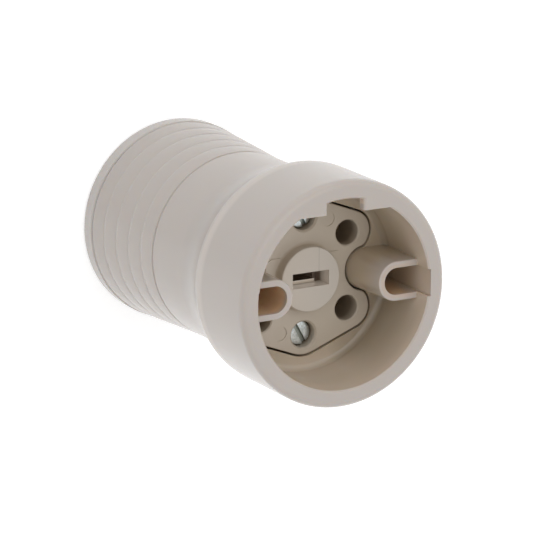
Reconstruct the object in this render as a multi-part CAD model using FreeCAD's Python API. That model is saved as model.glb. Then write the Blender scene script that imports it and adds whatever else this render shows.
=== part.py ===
import FreeCAD, Part
import math
import os

# Inline socket connector of a five-pole coupling for a three-phase lead, in millimetres.
# It stands on its flat back end with the mouth up: +Z runs along its axis out of the mouth,
# the origin is the middle of the back end, +Y points at the key notch and +X at a guide rib.
# Across the axis the sizes build up from the boss in the middle to the skirt, and along it
# from the back end to the mouth.

# Boss in the middle of the contact plate, with the earth slot
boss_radius = 8.15
boss_height = 3.35
boss_foot = 0.9
boss_edge = 0.35
collar_step = 2.75
collar_half_width = 5.4
collar_height = 0.3
collar_rounding = 2.2
slot_half_width = 5.1
slot_half_height = 1.87
slot_wall = 4.5

# Hollow guide ribs on the inner wall of the mouth, one at each side. The left one stands nearer
# the axis and rises higher.
rib_gap = 4.35
rib_half_width = 4.95
rib_straight = 6.25
rib_setback = 5.0
left_rib_shift = 0.45
left_rib_rise = 0.8
rib_draft = 0.3
rib_wall = 1.55
rib_edge = 0.3
hollow_cut = 0.45
left_hollow_cut = 0.15
hollow_sink = 1.0

# Contact plate let into the floor of the mouth
contact_hole_radius = 3.15
contact_hole_chamfer = 0.3
contact_offset_x = 1.1
contact_offset_y = 0.1
lobe_wall = 2.05
lobe_inset = 4.2
lobe_sink = 0.5
fixing_reach = 6.65
point_reach = 5.55
point_rounding = 7.5
corner_rounding = 1.5
notch_margin = 0.85
plate_gap = 0.5
plate_edge = 0.25
pin_mark_x = 6.6
pin_mark_drop = 1.15
pin_mark_radius = 1.85
pin_mark_depth = 0.2

# Mouth and skirt of the front housing
mouth_depth = 19.65
floor_thickness = 4.8
floor_rounding = 1.5
skirt_wall = 4.5
skirt_length = 23.3
shoulder_rounding = 5.0
rim_rounding = 1.8
rim_chamfer = 0.35

# Key lip across the mouth, with its notch
lip_height = 3.4
lip_thickness = 2.2
notch_half_width = 5.05
notch_rounding = 0.8

# Flared neck behind the skirt, with the ledges for the fixing screws inside
flare_length = 15.5
neck_length = 14.2
neck_clearance = 0.95
neck_wall = 2.8
ledge_half_width = 4.2
ledge_length = 13.0
pilot_depth = 11.0

# Round contacts: split sleeves behind the holes of the plate
sleeve_setback = 9.0
sleeve_bore_radius = 2.5
sleeve_wall = 0.9
sleeve_lead = 0.38
sleeve_bore_depth = 8.0
sleeve_slit = 0.6
sleeve_slit_depth = 6.5
terminal_length = 6.2
terminal_height = 2.5
wire_hole_radius = 1.6
wire_hole_depth = 4.6

# Carrier behind the plate, which holds the contacts
carrier_inset = 0.5
carrier_setback = 0.4
ear_thickness = 4.0

# Flat earth contact
earth_setback = 3.5
blade_left = 4.4
blade_right = 3.0
blade_thickness = 0.6
blade_lead = 0.3
earth_half_width = 5.1
earth_half_depth = 3.0
earth_chamber_margin = 0.8
earth_block_height = 8.0
earth_wire_radius = 1.8
earth_wire_depth = 6.0

# Screws
fixing_head_radius = 3.0
fixing_head_height = 1.5
fixing_shaft_radius = 1.45
fixing_length = 13.5
fixing_recess_depth = 3.65
fixing_recess_chamfer = 0.45
fixing_slot_width = 1.2
fixing_slot_depth = 0.9
fixing_slot_angles = {"upper": -64.0, "lower": -61.0}
terminal_head_radius = 2.2
terminal_head_height = 1.5
terminal_shaft_radius = 1.4
terminal_screw_length = 3.6
terminal_slot_width = 0.7
terminal_slot_depth = 0.6
clamp_head_radius = 2.4
clamp_head_height = 1.8
clamp_shaft_radius = 1.45
clamp_screw_length = 10.0
screw_edge = 0.3
screw_taper = 0.45

# Ridged rear grip
ridge_pitch = 5.9
ridge_count = 5
grip_step = 0.05
grip_taper = 1.7
grip_wall = 2.7
ridge_crown = 0.08
groove_depth = 0.08
groove_half_width = 0.7
joint_bevel = 0.45
joint_gap = 0.2
joint_gap_depth = 0.8
spigot_step = 0.8
spigot_length = 6.0
spigot_wall = 1.9

# End cap
cap_height = 4.5
cap_step = 0.1
cap_edge = 0.9
cap_web = 4.0
cap_socket_wall = 3.15
cap_spigot_length = 6.0
cap_spigot_wall = 1.9

# Cable entry and cord clamp
cable_radius = 6.5
grommet_wall = 1.7
grommet_flange_step = 1.4
grommet_flange = 1.4
grommet_recess = 0.2
grommet_lip = 1.9
clamp_ease = 0.4
clamp_wall = 2.3
clamp_screw_margin = 2.6
clamp_end_margin = 3.4
saddle_floor = 3.1
clamp_start = 7.0
clamp_width = 8.0
clamp_ear = 3.2

# Clearances
slide_clearance = 0.1
screw_clearance = 0.2
head_clearance = 0.3
thread_clearance = 0.04
seat_clearance = 0.15
end_clearance = 0.4
fuse_overlap = 0.4

# Pieces that cut go past the face that they open by this much
cut_past = 1.0
edge_pick = 0.1

# Places across the axis, worked out from the sizes above
collar_radius = boss_radius + collar_step
rib_nose = boss_radius + rib_gap
rib_nose_centre = rib_nose + rib_half_width
left_rib_nose_centre = rib_nose_centre - left_rib_shift
rib_notch_radius = rib_half_width + notch_margin
hollow_half_width = rib_half_width - rib_wall
mouth_radius = rib_nose_centre + rib_straight
skirt_radius = mouth_radius + skirt_wall
lip_chord = mouth_radius - lip_height
lobe_radius = contact_hole_radius + lobe_wall
lobe_x = rib_nose_centre - lobe_inset
lobe_y = rib_half_width + lobe_radius - lobe_sink
contact_x = lobe_x - contact_offset_x
contact_y = lobe_y - contact_offset_y
fixing_y = boss_radius + fixing_reach
plate_point = fixing_y + point_reach
pin_mark_y = fixing_y - pin_mark_drop
point_slope = (math.atan2(plate_point - lobe_y, lobe_x)
               - math.asin(lobe_radius / math.hypot(lobe_x, plate_point - lobe_y)))
neck_bore_radius = plate_point + neck_clearance
waist_radius = neck_bore_radius + neck_wall
socket_radius = neck_bore_radius + spigot_step
spigot_radius = socket_radius - slide_clearance
sleeve_radius = sleeve_bore_radius + sleeve_wall
sleeve_hole_radius = sleeve_radius + slide_clearance
grip_front_radius = waist_radius + grip_step
grip_rear_radius = grip_front_radius + grip_taper
cap_radius = grip_rear_radius + cap_step
cap_socket_radius = grip_rear_radius - cap_socket_wall
cap_spigot_radius = cap_socket_radius - slide_clearance
grommet_neck_radius = cable_radius + grommet_wall
grommet_flange_radius = grommet_neck_radius + grommet_flange_step
clamp_groove_radius = cable_radius + clamp_ease
clamp_arch_radius = clamp_groove_radius + clamp_wall
clamp_screw_x = clamp_arch_radius + clamp_screw_margin
clamp_half_length = clamp_screw_x + clamp_end_margin
clamp_depth = clamp_groove_radius + saddle_floor

# Heights worked out from the sizes above
joint_z = cap_height + ridge_count * ridge_pitch
flare_end_z = joint_z + neck_length
shoulder_z = flare_end_z + flare_length
overall_length = shoulder_z + skirt_length
floor_z = overall_length - mouth_depth
floor_back_z = floor_z - floor_thickness
rib_top_z = overall_length - rib_setback
left_rib_top_z = rib_top_z + left_rib_rise
boss_z = floor_z + boss_height
ledge_z = floor_back_z - ear_thickness
sleeve_z = floor_z - sleeve_setback
sleeve_bottom_z = sleeve_z - sleeve_bore_depth
sleeve_back_z = sleeve_bottom_z - terminal_length
carrier_z = sleeve_bottom_z + carrier_setback
terminal_z = sleeve_back_z + terminal_height
earth_z = boss_z - earth_setback
fixing_seat_z = floor_z - fixing_recess_depth
grommet_web_z = grommet_recess + grommet_flange
clamp_end_z = clamp_start + clamp_width
clamp_middle_z = clamp_start + clamp_width / 2


def point(x, y, z=0.0):
    return FreeCAD.Vector(x, y, z)


def disc(radius, bottom, top, x=0.0, y=0.0):
    """Upright cylinder."""
    return Part.makeCylinder(radius, top - bottom, point(x, y, bottom))


def block(x_range, y_range, z_range):
    """Box between two limits each way."""
    x0, x1 = x_range
    y0, y1 = y_range
    z0, z1 = z_range
    return Part.makeBox(x1 - x0, y1 - y0, z1 - z0, point(x0, y0, z0))


def bar(radius, start, direction, length):
    """Round bar or hole in any direction."""
    return Part.makeCylinder(radius, length, start, direction)


def lathe(steps):
    """Turns a closed outline round the axis. A step is (r, z), or (mid r, mid z, r, z) for an arc."""
    edges = []
    last = point(steps[0][0], 0.0, steps[0][1])
    first = last
    for step in steps[1:]:
        end = point(step[-2], 0.0, step[-1])
        if len(step) == 4:
            middle = point(step[0], 0.0, step[1])
            edges.append(Part.Arc(last, middle, end).toShape())
        else:
            edges.append(Part.makeLine(last, end))
        last = end
    edges.append(Part.makeLine(last, first))
    face = Part.Face(Part.Wire(edges))
    return face.revolve(point(0, 0), point(0, 0, 1), 360)


def corner_arc(centre_r, centre_z, radius, middle_angle, end_angle):
    """The arc step that rounds a corner of a turned outline, angles in degrees from +r."""
    middle = math.radians(middle_angle)
    end = math.radians(end_angle)
    return (centre_r + radius * math.cos(middle), centre_z + radius * math.sin(middle),
            centre_r + radius * math.cos(end), centre_z + radius * math.sin(end))


def upright_edges(solid, x, y):
    """Vertical edges of a solid that stand at a place."""
    found = []
    for edge in solid.Edges:
        box = edge.BoundBox
        if math.hypot(box.Center.x - x, box.Center.y - y) < edge_pick < box.ZLength:
            found.append(edge)
    return found


def level_edges(solid, z):
    """Edges that lie flat at one height."""
    return [edge for edge in solid.Edges
            if max(abs(edge.BoundBox.ZMin - z), abs(edge.BoundBox.ZMax - z)) < edge_pick / 10]


def both_sides(solid, normal):
    """A solid and its mirror image across a plane through the axis."""
    return [solid, solid.mirror(point(0, 0), normal)]


def meet_of_circles(x1, y1, r1, x2, y2, r2):
    """Where two circles cross, on the side further from the axis."""
    span = math.hypot(x2 - x1, y2 - y1)
    along = (r1 * r1 - r2 * r2 + span * span) / (2 * span)
    aside = math.sqrt(r1 * r1 - along * along)
    ux = (x2 - x1) / span
    uy = (y2 - y1) / span
    return x1 + along * ux - aside * uy, y1 + along * uy + aside * ux


def plate_prism(grow, bottom, top):
    """The contact plate's outline, larger or smaller all round by grow, as an upright solid.

    Each quarter is a straight side from the point to a lobe, the lobe's arc, and the hollow
    that goes round a guide rib.
    """
    lobe = lobe_radius + grow
    hollow = rib_notch_radius - grow
    touch = (lobe_x + lobe * math.sin(point_slope), lobe_y + lobe * math.cos(point_slope))
    tip = (0.0, touch[1] + touch[0] * math.tan(point_slope))
    side = (lobe_x + lobe, lobe_y)
    corners = {}
    edges = []
    for sx, centre in ((1, rib_nose_centre), (-1, left_rib_nose_centre)):
        corner = meet_of_circles(lobe_x, lobe_y, lobe, centre, 0.0, hollow)
        corners[sx] = corner
        inner = (centre - hollow, 0.0)
        turn = math.atan2(corner[1], corner[0] - centre) / 2 + math.pi / 2
        round_middle = (centre + hollow * math.cos(turn), hollow * math.sin(turn))
        for sy in (1, -1):
            p_tip, p_touch, p_side, p_corner, p_middle, p_inner = [
                point(sx * x, sy * y, bottom) for x, y in (tip, touch, side, corner, round_middle, inner)]
            edges.append(Part.makeLine(p_tip, p_touch))
            edges.append(Part.Arc(p_touch, p_side, p_corner).toShape())
            edges.append(Part.Arc(p_corner, p_middle, p_inner).toShape())
    wire = Part.Wire(Part.__sortEdges__(edges))
    solid = Part.Face(wire).extrude(point(0, 0, top - bottom))
    tips = upright_edges(solid, 0.0, tip[1]) + upright_edges(solid, 0.0, -tip[1])
    solid = solid.makeFillet(point_rounding, tips)
    sharp = []
    for sx, corner in corners.items():
        for sy in (1, -1):
            sharp += upright_edges(solid, sx * corner[0], sy * corner[1])
    return solid.makeFillet(corner_rounding, sharp)


def rib_outline(nose_centre, half_width, reach, z):
    """Round-nosed outline of a guide rib: the nose towards the axis, the open end in the wall."""
    nose = point(nose_centre - half_width, 0.0, z)
    upper = point(nose_centre, half_width, z)
    lower = point(nose_centre, -half_width, z)
    far_upper = point(reach, half_width, z)
    far_lower = point(reach, -half_width, z)
    return Part.Wire([Part.makeLine(far_upper, upper), Part.Arc(upper, nose, lower).toShape(),
                      Part.makeLine(lower, far_lower), Part.makeLine(far_lower, far_upper)])


def guide_rib(nose_centre, top_z, wall_cut):
    """A guide rib at the right, from the floor of the mouth into its wall, and the hollow in it."""
    reach = mouth_radius + fuse_overlap
    foot = rib_outline(nose_centre, rib_half_width + rib_draft, reach, floor_z - fuse_overlap)
    head = rib_outline(nose_centre, rib_half_width, reach, top_z)
    rib = Part.makeLoft([foot, head], True, True)
    rim = [e for e in level_edges(rib, top_z) if e.BoundBox.XMin < reach - edge_pick]
    hollow_z = floor_z - hollow_sink
    hollow_outline = rib_outline(nose_centre, hollow_half_width, mouth_radius + wall_cut, hollow_z)
    hollow = Part.Face(hollow_outline).extrude(point(0, 0, overall_length + cut_past - hollow_z))
    return rib.makeFillet(rib_edge, rim), hollow


def ledge_prism(grow, bottom, top, reach):
    """Round-nosed post under a fixing screw, from the screw's place to the neck wall."""
    half = ledge_half_width + grow
    post = disc(half, bottom, top, 0.0, fixing_y)
    return post.fuse(block((-half, half), (fixing_y, reach), (bottom, top)))


def screw(head_radius, head_height, shaft_radius, length, slot_width, slot_depth, slot_angle):
    """Slotted screw: its head sits on z=0, its shaft goes down."""
    body = lathe([(0, -length), (shaft_radius - screw_taper, -length),
                  (shaft_radius, -length + screw_taper), (shaft_radius, 0), (head_radius, 0),
                  (head_radius, head_height - screw_edge), (head_radius - screw_edge, head_height),
                  (0, head_height)])
    slot = block((-head_radius, head_radius), (-slot_width / 2, slot_width / 2),
                 (head_height - slot_depth, head_height + cut_past))
    slot.rotate(point(0, 0), point(0, 0, 1), slot_angle)
    return body.cut(slot)


def aimed(solid, direction, place):
    """Turns a screw so that its head points along direction, then puts its seat at place."""
    turned = solid.copy()
    turned.Placement = FreeCAD.Placement(place, FreeCAD.Rotation(point(0, 0, 1), direction))
    return turned


def front_housing():
    """Skirt, flared neck, floor, guide ribs, key lip and screw ledges, moulded in one."""
    rise = skirt_radius - waist_radius
    flare_radius = (flare_length ** 2 + rise ** 2) / (2 * rise)
    half_turn = math.asin(flare_length / flare_radius) / 2
    flare_middle = (waist_radius + flare_radius * (1 - math.cos(half_turn)),
                    flare_end_z + flare_radius * math.sin(half_turn))
    step_z = joint_z + spigot_length + end_clearance
    shell = lathe([
        (0, floor_back_z), (neck_bore_radius, floor_back_z), (neck_bore_radius, step_z),
        (socket_radius, step_z), (socket_radius, joint_z), (waist_radius - joint_bevel, joint_z),
        (waist_radius, joint_z + joint_bevel), (waist_radius, flare_end_z),
        (*flare_middle, skirt_radius, shoulder_z),
        (skirt_radius, overall_length - rim_rounding),
        corner_arc(skirt_radius - rim_rounding, overall_length - rim_rounding, rim_rounding, 45, 90),
        (mouth_radius + rim_chamfer, overall_length), (mouth_radius, overall_length - rim_chamfer),
        (mouth_radius, floor_z + floor_rounding),
        corner_arc(mouth_radius - floor_rounding, floor_z + floor_rounding, floor_rounding, -45, -90),
        (0, floor_z)])
    shoulder = [e for e in level_edges(shell, shoulder_z) if e.BoundBox.XMax > skirt_radius - edge_pick]
    shell = shell.makeFillet(shoulder_rounding, shoulder)

    reach = mouth_radius + fuse_overlap
    right_rib, right_hollow = guide_rib(rib_nose_centre, rib_top_z, hollow_cut)
    left_rib, left_hollow = [solid.mirror(point(0, 0), point(1, 0)) for solid in
                             guide_rib(left_rib_nose_centre, left_rib_top_z, left_hollow_cut)]

    lip = disc(reach, overall_length - lip_thickness, overall_length).common(
        block((-reach, reach), (lip_chord, reach), (overall_length - lip_thickness, overall_length)))
    lip = lip.cut(block((-notch_half_width, notch_half_width), (0, reach + cut_past),
                        (overall_length - lip_thickness - cut_past, overall_length + cut_past)))
    notch = [e for e in level_edges(lip, overall_length)
             if abs(abs(e.BoundBox.Center.x) - notch_half_width) < edge_pick > e.BoundBox.XLength]
    lip = lip.makeFillet(notch_rounding, notch)

    ledge = ledge_prism(0.0, ledge_z - ledge_length, ledge_z, neck_bore_radius + fuse_overlap)
    ledge = ledge.cut(disc(fixing_shaft_radius + thread_clearance, ledge_z - pilot_depth,
                           ledge_z + cut_past, 0.0, fixing_y))

    body = shell.fuse([right_rib, left_rib, lip] + both_sides(ledge, point(0, 1)))
    body = body.cut(plate_prism(plate_gap, floor_back_z - cut_past, floor_z + cut_past))
    body = body.cut([right_hollow, left_hollow])
    return body.removeSplitter()


def contact_plate():
    """Plate with four round contact holes, two screw recesses, and the boss with the earth slot."""
    plate = plate_prism(0.0, floor_back_z, floor_z)
    plate = plate.makeFillet(plate_edge, level_edges(plate, floor_z))
    boss = lathe([
        (0, floor_back_z), (boss_radius, floor_back_z), (boss_radius + boss_foot, floor_z),
        corner_arc(boss_radius + boss_foot, floor_z + boss_foot, boss_foot, 225, 180),
        (boss_radius, boss_z - boss_edge),
        corner_arc(boss_radius - boss_edge, boss_z - boss_edge, boss_edge, 45, 90), (0, boss_z)])
    collar = block((-collar_radius, collar_radius), (-collar_half_width, collar_half_width),
                   (floor_back_z, floor_z + collar_height))
    sharp = [e for e in collar.Edges if e.BoundBox.ZLength > edge_pick]
    plate = plate.fuse([boss, collar.makeFillet(collar_rounding, sharp)])
    chamber_half_width = slot_half_width + earth_chamber_margin
    chamber_half_depth = earth_half_depth + slide_clearance
    cuts = [block((-slot_half_width, slot_half_width), (-slot_half_height, slot_half_height),
                  (floor_back_z - cut_past, boss_z + cut_past)),
            block((-chamber_half_width, chamber_half_width), (-chamber_half_depth, chamber_half_depth),
                  (floor_back_z - cut_past, boss_z - slot_wall))]
    for sx in (1, -1):
        for sy in (1, -1):
            x = sx * contact_x
            y = sy * contact_y
            cuts.append(disc(contact_hole_radius, floor_back_z - cut_past, floor_z + cut_past, x, y))
            flare = Part.makeCone(contact_hole_radius, contact_hole_radius + 2 * contact_hole_chamfer,
                                  2 * contact_hole_chamfer, point(x, y, floor_z - contact_hole_chamfer))
            cuts.append(flare)
    for sy in (1, -1):
        recess_radius = fixing_head_radius + head_clearance
        cuts.append(disc(recess_radius, fixing_seat_z, floor_z + cut_past, 0.0, sy * fixing_y))
        cuts.append(Part.makeCone(recess_radius, recess_radius + 2 * fixing_recess_chamfer,
                                  2 * fixing_recess_chamfer,
                                  point(0.0, sy * fixing_y, floor_z - fixing_recess_chamfer)))
        cuts.append(disc(fixing_shaft_radius + screw_clearance, floor_back_z - cut_past, floor_z,
                         0.0, sy * fixing_y))
        cuts.append(disc(pin_mark_radius, floor_z - pin_mark_depth, floor_z + cut_past,
                         sy * pin_mark_x, sy * pin_mark_y))
    return plate.cut(cuts).removeSplitter()


def contact_carrier():
    """Moulded block behind the plate: bores for the four sleeves, and a chamber for the earth contact.

    The terminals stand free behind it, where their screws can be reached.
    """
    body = plate_prism(-carrier_inset, carrier_z, floor_back_z)
    chamber_width = earth_half_width + slide_clearance
    chamber_depth = earth_half_depth + slide_clearance
    chamber_top = sleeve_back_z + earth_block_height + seat_clearance
    cuts = both_sides(ledge_prism(seat_clearance, carrier_z - cut_past, ledge_z,
                                  neck_bore_radius + cut_past), point(0, 1))
    cuts.append(block((-chamber_width, chamber_width), (-chamber_depth, chamber_depth),
                      (carrier_z - cut_past, chamber_top)))
    cuts.append(block((-slot_half_width, slot_half_width), (-slot_half_height, slot_half_height),
                      (carrier_z, floor_back_z + cut_past)))
    for sy in (1, -1):
        cuts.append(disc(fixing_shaft_radius + screw_clearance, ledge_z - cut_past,
                         floor_back_z + cut_past, 0.0, sy * fixing_y))
        for sx in (1, -1):
            x = sx * contact_x
            y = sy * contact_y
            cuts.append(disc(contact_hole_radius, sleeve_z, floor_back_z + cut_past, x, y))
            cuts.append(disc(sleeve_hole_radius, carrier_z - cut_past, sleeve_z + seat_clearance, x, y))
    return body.cut(cuts).removeSplitter()


def contact_sleeve(sx, sy):
    """Split brass sleeve with a solid terminal at its back, drilled for the wire and its screw."""
    body = lathe([
        (0, sleeve_back_z), (sleeve_radius, sleeve_back_z), (sleeve_radius, sleeve_z - sleeve_lead),
        (sleeve_radius - sleeve_lead, sleeve_z), (sleeve_bore_radius + sleeve_lead, sleeve_z),
        (sleeve_bore_radius, sleeve_z - sleeve_lead), (sleeve_bore_radius, sleeve_bottom_z),
        (0, sleeve_bottom_z)])
    slit = block((-sleeve_slit / 2, sleeve_slit / 2), (-sleeve_radius - cut_past, sleeve_radius + cut_past),
                 (sleeve_z - sleeve_slit_depth, sleeve_z + cut_past))
    wire = disc(wire_hole_radius, sleeve_back_z - cut_past, sleeve_back_z + wire_hole_depth)
    thread = bar(terminal_shaft_radius + thread_clearance, point(0, 0, terminal_z),
                 point(0, sy, 0), sleeve_radius + cut_past)
    body = body.cut([slit, wire, thread])
    body.translate(point(sx * contact_x, sy * contact_y))
    return body


def terminal_screw(direction, seat):
    """Slotted screw that grips a wire in a terminal."""
    body = screw(terminal_head_radius, terminal_head_height, terminal_shaft_radius,
                 terminal_screw_length, terminal_slot_width, terminal_slot_depth, 0.0)
    return aimed(body, direction, seat)


def earth_contact():
    """Two flat blades that the earth tongue goes between, on a drilled terminal block."""
    block_top = sleeve_back_z + earth_block_height
    body = block((-earth_half_width, earth_half_width), (-earth_half_depth, earth_half_depth),
                 (sleeve_back_z, block_top))
    outer = slot_half_height - seat_clearance
    blade = block((-blade_left, blade_right), (outer - blade_thickness, outer),
                  (block_top - fuse_overlap, earth_z))
    tips = [e for e in level_edges(blade, earth_z) if e.BoundBox.YMax < outer - blade_thickness + edge_pick]
    blade = blade.makeChamfer(blade_lead, tips)
    body = body.fuse(both_sides(blade, point(0, 1)))
    body = body.cut(disc(earth_wire_radius, sleeve_back_z - cut_past, sleeve_back_z + earth_wire_depth))
    body = body.cut(bar(terminal_shaft_radius + thread_clearance, point(0, 0, terminal_z),
                        point(1, 0, 0), earth_half_width + cut_past))
    return body.removeSplitter()


def fixing_screw(side):
    """Slotted screw that holds the plate and the carrier down on a ledge of the housing."""
    body = screw(fixing_head_radius, fixing_head_height, fixing_shaft_radius, fixing_length,
                 fixing_slot_width, fixing_slot_depth, fixing_slot_angles[side])
    sign = 1 if side == "upper" else -1
    body.translate(point(0, sign * fixing_y, fixing_seat_z))
    return body


def grip_radius(z):
    """Outer radius of the tapered grip over its ridges."""
    share = (joint_z - z) / (joint_z - cap_height)
    return grip_front_radius + share * (grip_rear_radius - grip_front_radius)


def ridge_steps():
    """Outline of the grip from back to front: crowned rings with a shallow valley between them.

    At its front it stands a little back from the housing, which leaves a shadow line.
    """
    steps = [(grip_radius(cap_height) - joint_bevel, cap_height),
             (grip_radius(cap_height + joint_bevel) - ridge_crown, cap_height + joint_bevel)]
    for ring in range(ridge_count):
        low = cap_height + ring * ridge_pitch
        high = low + ridge_pitch
        middle = (low + high) / 2
        end = high - groove_half_width
        if ring > 0:
            start = low + groove_half_width
            steps.append((grip_radius(low) - ridge_crown - groove_depth, low,
                          grip_radius(start) - ridge_crown, start))
        if ring == ridge_count - 1:
            end = high - joint_bevel
        steps.append((grip_radius(middle), middle, grip_radius(end) - ridge_crown, end))
    edge_radius = grip_front_radius - joint_bevel
    steps += [(edge_radius, joint_z - joint_gap), (edge_radius - joint_gap_depth, joint_z - joint_gap),
              (edge_radius - joint_gap_depth, joint_z)]
    return steps


def rear_grip():
    """Tapered sleeve with shallow ridges, and a spigot that goes into the neck of the housing."""
    spigot_bore = spigot_radius - spigot_wall
    front_bore = grip_front_radius - grip_wall
    rear_bore = cap_spigot_radius - fuse_overlap
    bore_step_z = cap_height + cap_spigot_length + end_clearance
    return lathe([
        (cap_socket_radius, cap_height), *ridge_steps(),
        (spigot_radius, joint_z), (spigot_radius, joint_z + spigot_length),
        (spigot_bore, joint_z + spigot_length), (spigot_bore, joint_z - spigot_wall),
        (front_bore, joint_z - spigot_wall - (front_bore - spigot_bore)),
        (rear_bore, bore_step_z), (cap_socket_radius, bore_step_z)])


def end_cap():
    """Flat back end with the cable opening, a spigot for the grip and the lower cord saddle."""
    hole = grommet_neck_radius + slide_clearance
    recess = grommet_flange_radius + slide_clearance
    spigot_top = cap_height + cap_spigot_length
    edge_radius = cap_radius - joint_bevel
    body = lathe([
        (recess, 0), (cap_radius - cap_edge, 0),
        corner_arc(cap_radius - cap_edge, cap_edge, cap_edge, -45, 0),
        (cap_radius, cap_height - joint_bevel), (edge_radius, cap_height - joint_gap),
        (edge_radius - joint_gap_depth, cap_height - joint_gap),
        (edge_radius - joint_gap_depth, cap_height),
        (cap_spigot_radius, cap_height), (cap_spigot_radius, spigot_top),
        (cap_spigot_radius - cap_spigot_wall, spigot_top), (cap_spigot_radius - cap_spigot_wall, cap_web),
        (hole, cap_web), (hole, grommet_web_z), (recess, grommet_web_z)])
    saddle = block((-clamp_half_length, clamp_half_length), (-clamp_depth, 0),
                   (cap_web - fuse_overlap, clamp_end_z))
    saddle = saddle.cut([disc(clamp_groove_radius, 0, clamp_end_z + cut_past),
                         disc(recess + end_clearance, 0, clamp_start - end_clearance)])
    for sx in (1, -1):
        saddle = saddle.cut(bar(clamp_shaft_radius + thread_clearance,
                                point(sx * clamp_screw_x, 0, clamp_middle_z), point(0, -1, 0),
                                clamp_screw_length - clamp_ear + end_clearance))
    return body.fuse(saddle).removeSplitter()


def cable_grommet():
    """Rubber ring snapped into the back end, grooved to grip the web round the opening."""
    inner_lip_z = cap_web + seat_clearance
    top = inner_lip_z + grommet_lip
    return lathe([
        (cable_radius, grommet_recess), (grommet_flange_radius, grommet_recess),
        (grommet_flange_radius, grommet_web_z), (grommet_neck_radius, grommet_web_z),
        (grommet_neck_radius, inner_lip_z), (grommet_flange_radius, inner_lip_z),
        (grommet_neck_radius, top), (cable_radius, top)])


def cord_clamp():
    """Arched upper saddle that presses the cable down on the lower one."""
    width = (clamp_start, clamp_end_z)
    arch = disc(clamp_arch_radius, *width).common(
        block((-clamp_arch_radius, clamp_arch_radius), (0, clamp_arch_radius), width))
    ears = block((-clamp_half_length, clamp_half_length), (0, clamp_ear), width)
    body = arch.fuse(ears).cut(disc(clamp_groove_radius, clamp_start - cut_past, clamp_end_z + cut_past))
    for sx in (1, -1):
        body = body.cut(bar(clamp_shaft_radius + screw_clearance,
                            point(sx * clamp_screw_x, -cut_past, clamp_middle_z), point(0, 1, 0),
                            clamp_ear + 2 * cut_past))
    return body.removeSplitter()


def clamp_screw(sx):
    """Slotted screw that pulls the cord clamp down."""
    body = screw(clamp_head_radius, clamp_head_height, clamp_shaft_radius, clamp_screw_length,
                 terminal_slot_width, terminal_slot_depth, 0.0)
    return aimed(body, point(0, 1, 0), point(sx * clamp_screw_x, clamp_ear, clamp_middle_z))


def all_pieces():
    """Every piece by name."""
    pieces = {
        "front_housing": front_housing(),
        "contact_plate": contact_plate(),
        "contact_carrier": contact_carrier(),
        "earth_contact": earth_contact(),
        "rear_grip": rear_grip(),
        "end_cap": end_cap(),
        "cable_grommet": cable_grommet(),
        "cord_clamp": cord_clamp(),
        "clamp_screw_right": clamp_screw(1),
        "clamp_screw_left": clamp_screw(-1),
        "plate_screw_upper": fixing_screw("upper"),
        "plate_screw_lower": fixing_screw("lower"),
    }
    corners = [(1, 1), (-1, 1), (-1, -1), (1, -1)]
    for number, (sx, sy) in enumerate(corners, start=1):
        pieces[f"contact_sleeve_{number}"] = contact_sleeve(sx, sy)
        seat = point(sx * contact_x, sy * (contact_y + sleeve_radius + seat_clearance), terminal_z)
        pieces[f"terminal_screw_{number}"] = terminal_screw(point(0, sy, 0), seat)
    seat = point(earth_half_width + seat_clearance, 0, terminal_z)
    pieces["earth_screw"] = terminal_screw(point(1, 0, 0), seat)
    return pieces


os.makedirs("parts", exist_ok=True)
for name, solid in all_pieces().items():
    print(f"{name}: {len(solid.Solids)} solid, {solid.Volume:.0f} mm3, valid {solid.isValid()}")
    solid.exportStep(f"parts/{name}.step")
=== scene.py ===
# %% [markdown]
# # An inline socket connector in pale moulded plastic
#
# The object is the socket end of a lead: a round keyed mouth with four contacts and a flat earth,
# a flared neck, and a ridged grip that the hand pulls on. Its construction comes as a fixed frame of
# named pieces at their real size. This lesson lights and photographs that frame, gives each piece the
# finish of the real one, and makes again the pieces whose finish needs a finer mesh.

# %% Load the frame
import math

import bmesh
import bpy
from mathutils import Matrix, Vector


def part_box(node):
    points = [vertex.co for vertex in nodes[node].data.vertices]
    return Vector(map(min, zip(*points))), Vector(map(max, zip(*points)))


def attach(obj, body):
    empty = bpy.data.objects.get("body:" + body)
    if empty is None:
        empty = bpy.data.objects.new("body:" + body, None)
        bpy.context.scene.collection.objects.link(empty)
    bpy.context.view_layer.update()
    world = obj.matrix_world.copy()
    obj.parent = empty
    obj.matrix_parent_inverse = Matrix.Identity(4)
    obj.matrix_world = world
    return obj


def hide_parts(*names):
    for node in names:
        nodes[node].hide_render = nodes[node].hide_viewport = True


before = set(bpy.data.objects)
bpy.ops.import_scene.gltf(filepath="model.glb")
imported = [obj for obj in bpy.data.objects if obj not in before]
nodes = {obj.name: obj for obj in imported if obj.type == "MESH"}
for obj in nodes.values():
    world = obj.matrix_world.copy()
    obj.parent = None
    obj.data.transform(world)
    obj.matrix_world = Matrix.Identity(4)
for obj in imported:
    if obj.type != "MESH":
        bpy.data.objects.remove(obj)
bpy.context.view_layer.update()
mm = 0.001
print("pieces in the frame:", len(nodes))

# %% [markdown]
# ## The camera
#
# The connector stands on its flat back end in the frame, with the mouth up. The picture looks down
# into the mouth at a third of a right angle, and holds the key notch upright. A long lens far away
# keeps the two ends of the body nearly the same size. We could turn the object to suit a level
# camera, but then nothing would lie in the frame's own axes any more. So the camera goes round the
# object instead: an eye, a point to aim at, and a small roll.

# %% Place the camera
focal_length = 253.4
sensor_width = 36.0
eye = Vector((-0.4512, 0.2425, 0.8380))
aim = Vector((0.00417, -0.00462, 0.04341))
roll = math.radians(0.38)
notch_side = Vector((0, 1, 0))
into_mouth = Vector((0, 0, -1))

forward = (aim - eye).normalized()
level_right = forward.cross(notch_side).normalized()
level_up = level_right.cross(forward)
right = level_right * math.cos(roll) + level_up * math.sin(roll)
up = right.cross(forward)

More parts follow.
